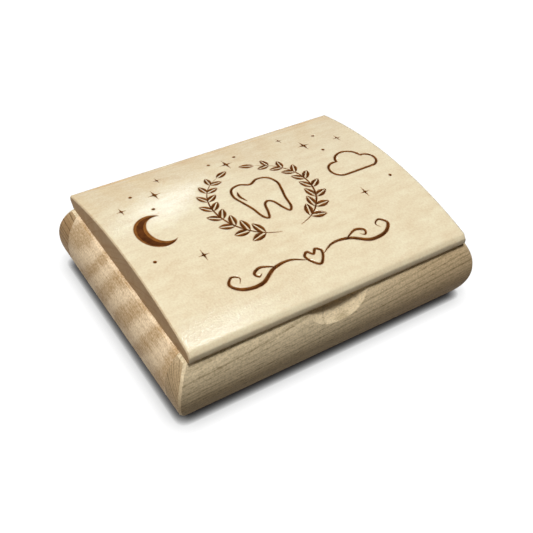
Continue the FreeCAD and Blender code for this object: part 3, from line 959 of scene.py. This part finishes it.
def felt_sheet(material):
    """The felt as a loose-laid sheet with a slightly uneven top."""
    low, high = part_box("felt_liner")
    columns = round((high[0] - low[0]) / FELT_CELL)
    rows = round((high[1] - low[1]) / FELT_CELL)
    points = []
    for row in range(rows + 1):
        for column in range(columns + 1):
            x = low[0] + (high[0] - low[0]) * column / columns
            y = low[1] + (high[1] - low[1]) * row / rows
            points.append((x, y, high[2] - felt_drop(x, y)))
    faces = []
    for row in range(rows):
        for column in range(columns):
            here = row * (columns + 1) + column
            behind = here + columns + 1
            faces.append([here, here + 1, behind + 1, behind])
    mesh = bpy.data.meshes.new("felt_sheet")
    mesh.from_pydata(points, [], faces)
    mesh.polygons.foreach_set("use_smooth", [True] * len(faces))
    mesh.materials.append(material)
    sheet = bpy.data.objects.new("felt_sheet", mesh)
    bpy.context.scene.collection.objects.link(sheet)
    body = sheet.modifiers.new("body", "SOLIDIFY")
    body.thickness = FELT_BODY
    body.offset = BELOW_TOP
    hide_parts("felt_liner")
    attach(sheet, "case")


# Colours, with a light and a dark one for each burnt wood and for the felt
PALE_MAPLE = (0.725, 0.64, 0.43, 1)
IVORY_MAPLE = (0.80, 0.715, 0.50, 1)
PEACH_MAPLE = (0.64, 0.48, 0.29, 1)
TAN_MAPLE = (0.84, 0.70, 0.47, 1)
WARM_MAPLE = (0.92, 0.74, 0.51, 1)
DARK_MAPLE = (0.26, 0.19, 0.09, 1)
GOLDEN_BROWN = (0.44, 0.28, 0.13, 1)
LID_END = (0.58, 0.45, 0.36, 1)
BROWN_END = (0.60, 0.46, 0.34, 1)
# Painted shade for the far end of the front rail
PAINTED_FAR_SHADE = (0.89, 0.81, 0.73, 1)
BURNT_FLOOR = ((0.12, 0.038, 0.008, 1), (0.055, 0.017, 0.004, 1))
BURNT_WALL = ((0.28, 0.105, 0.022, 1), (0.14, 0.048, 0.01, 1))
FELT_BROWN = ((0.12, 0.07, 0.045, 1), (0.05, 0.028, 0.018, 1))
HINGE_BRASS = (0.72, 0.52, 0.22, 1)
HINGE_ROUGHNESS = 0.3
SCREW_BRASS = (0.66, 0.48, 0.2, 1)
SCREW_ROUGHNESS = 0.28
AMBIENT = (0.047, 0.037, 0.025, 1)
COOL_LIGHT = (0.72, 0.90, 1.0)

LID_TOP = Board("lid_maple_polished", IVORY_MAPLE, PEACH_MAPLE, pith=(0, -40, -40), slope=1.5, year=2.6,
                base=0.35, rings=0.08, streaks=0.12, fibres=0.12, flecks=0.06, blotches=0.35, mottle=0.95,
                speckle=0.8, curl_width=14, curl_lean=12, end_tone=LID_END, easing=1.4, polished=True)
LID_SIDE = replace(LID_TOP, name="lid_maple", rings=0.3, streaks=0.5, fibres=0.4, flecks=0.3, easing=0.8,
                   polished=False)
FRONT = Board("front_maple", TAN_MAPLE, DARK_MAPLE, pith=(0, -70, 60), slope=3, year=1.1, base=0.18,
              rings=0.6, flecks=0.35, speckle=0.8, far_shade=PAINTED_FAR_SHADE, seed=3.1)
BACK = Board("back_maple", TAN_MAPLE, DARK_MAPLE, pith=(0, 30, 75), slope=-4, year=1.8, base=0.18,
             rings=0.7, speckle=0.8, end_tone=BROWN_END, seed=7.7)
LEFT = Board("left_maple", WARM_MAPLE, GOLDEN_BROWN, axis="Y", pith=(0, 90, 40), base=0.45, rings=0.2,
             fibres=0.6, streaks=0.3, blotches=0.2, speckle=1.1, curl=0.5, curl_width=11, curl_lean=32,
             seed=1.3)
RIGHT = Board("right_maple", WARM_MAPLE, GOLDEN_BROWN, axis="Y", pith=(0, -90, 30), base=0.45, rings=0.25,
              fibres=0.6, streaks=0.3, blotches=0.2, speckle=1.1, curl=0.45, curl_width=12, curl_lean=-20,
              seed=5.9)
PANEL = Board("panel_maple", PALE_MAPLE, PEACH_MAPLE, pith=(0, 20, -60), seed=9.3)

point_camera()
stage_floor()
light_world(AMBIENT)
soft_box("top_light", direction=(-0.1, -0.17, 1.0), distance=1.0, width=0.25, height=0.25, power=8.6)
soft_box("left_light", direction=(-1.0, -0.1, 0.5), distance=1.0, width=0.5, height=0.5, power=3.2)
soft_box("back_gleam", direction=(0.317, 0.804, 0.503), distance=0.9, width=0.03, height=0.14, power=0.26,
         colour=COOL_LIGHT)
soft_box("high_gleam", direction=(0.300, 0.080, 0.951), distance=0.9, width=0.05, height=0.06, power=0.46,
         colour=COOL_LIGHT)
bpy.context.scene.view_settings.view_transform = "Standard"

for node, board in (("front_rail", FRONT), ("back_rail", BACK), ("left_rail", LEFT), ("right_rail", RIGHT),
                    ("bottom_panel", PANEL)):
    dress(node, wood(board))
engraved_lid([wood(LID_TOP), wood(LID_SIDE), burnt("burnt_floor", *BURNT_FLOOR),
              burnt("burnt_wall", *BURNT_WALL)])
felt_sheet(felt_cloth("felt_brown", *FELT_BROWN))
hinge_brass = brass("hinge_brass", HINGE_BRASS, HINGE_ROUGHNESS)
screw_brass = brass("screw_brass", SCREW_BRASS, SCREW_ROUGHNESS)
for node in nodes:
    if "hinge" in node:
        dress(node, screw_brass if "screws" in node else hinge_brass)
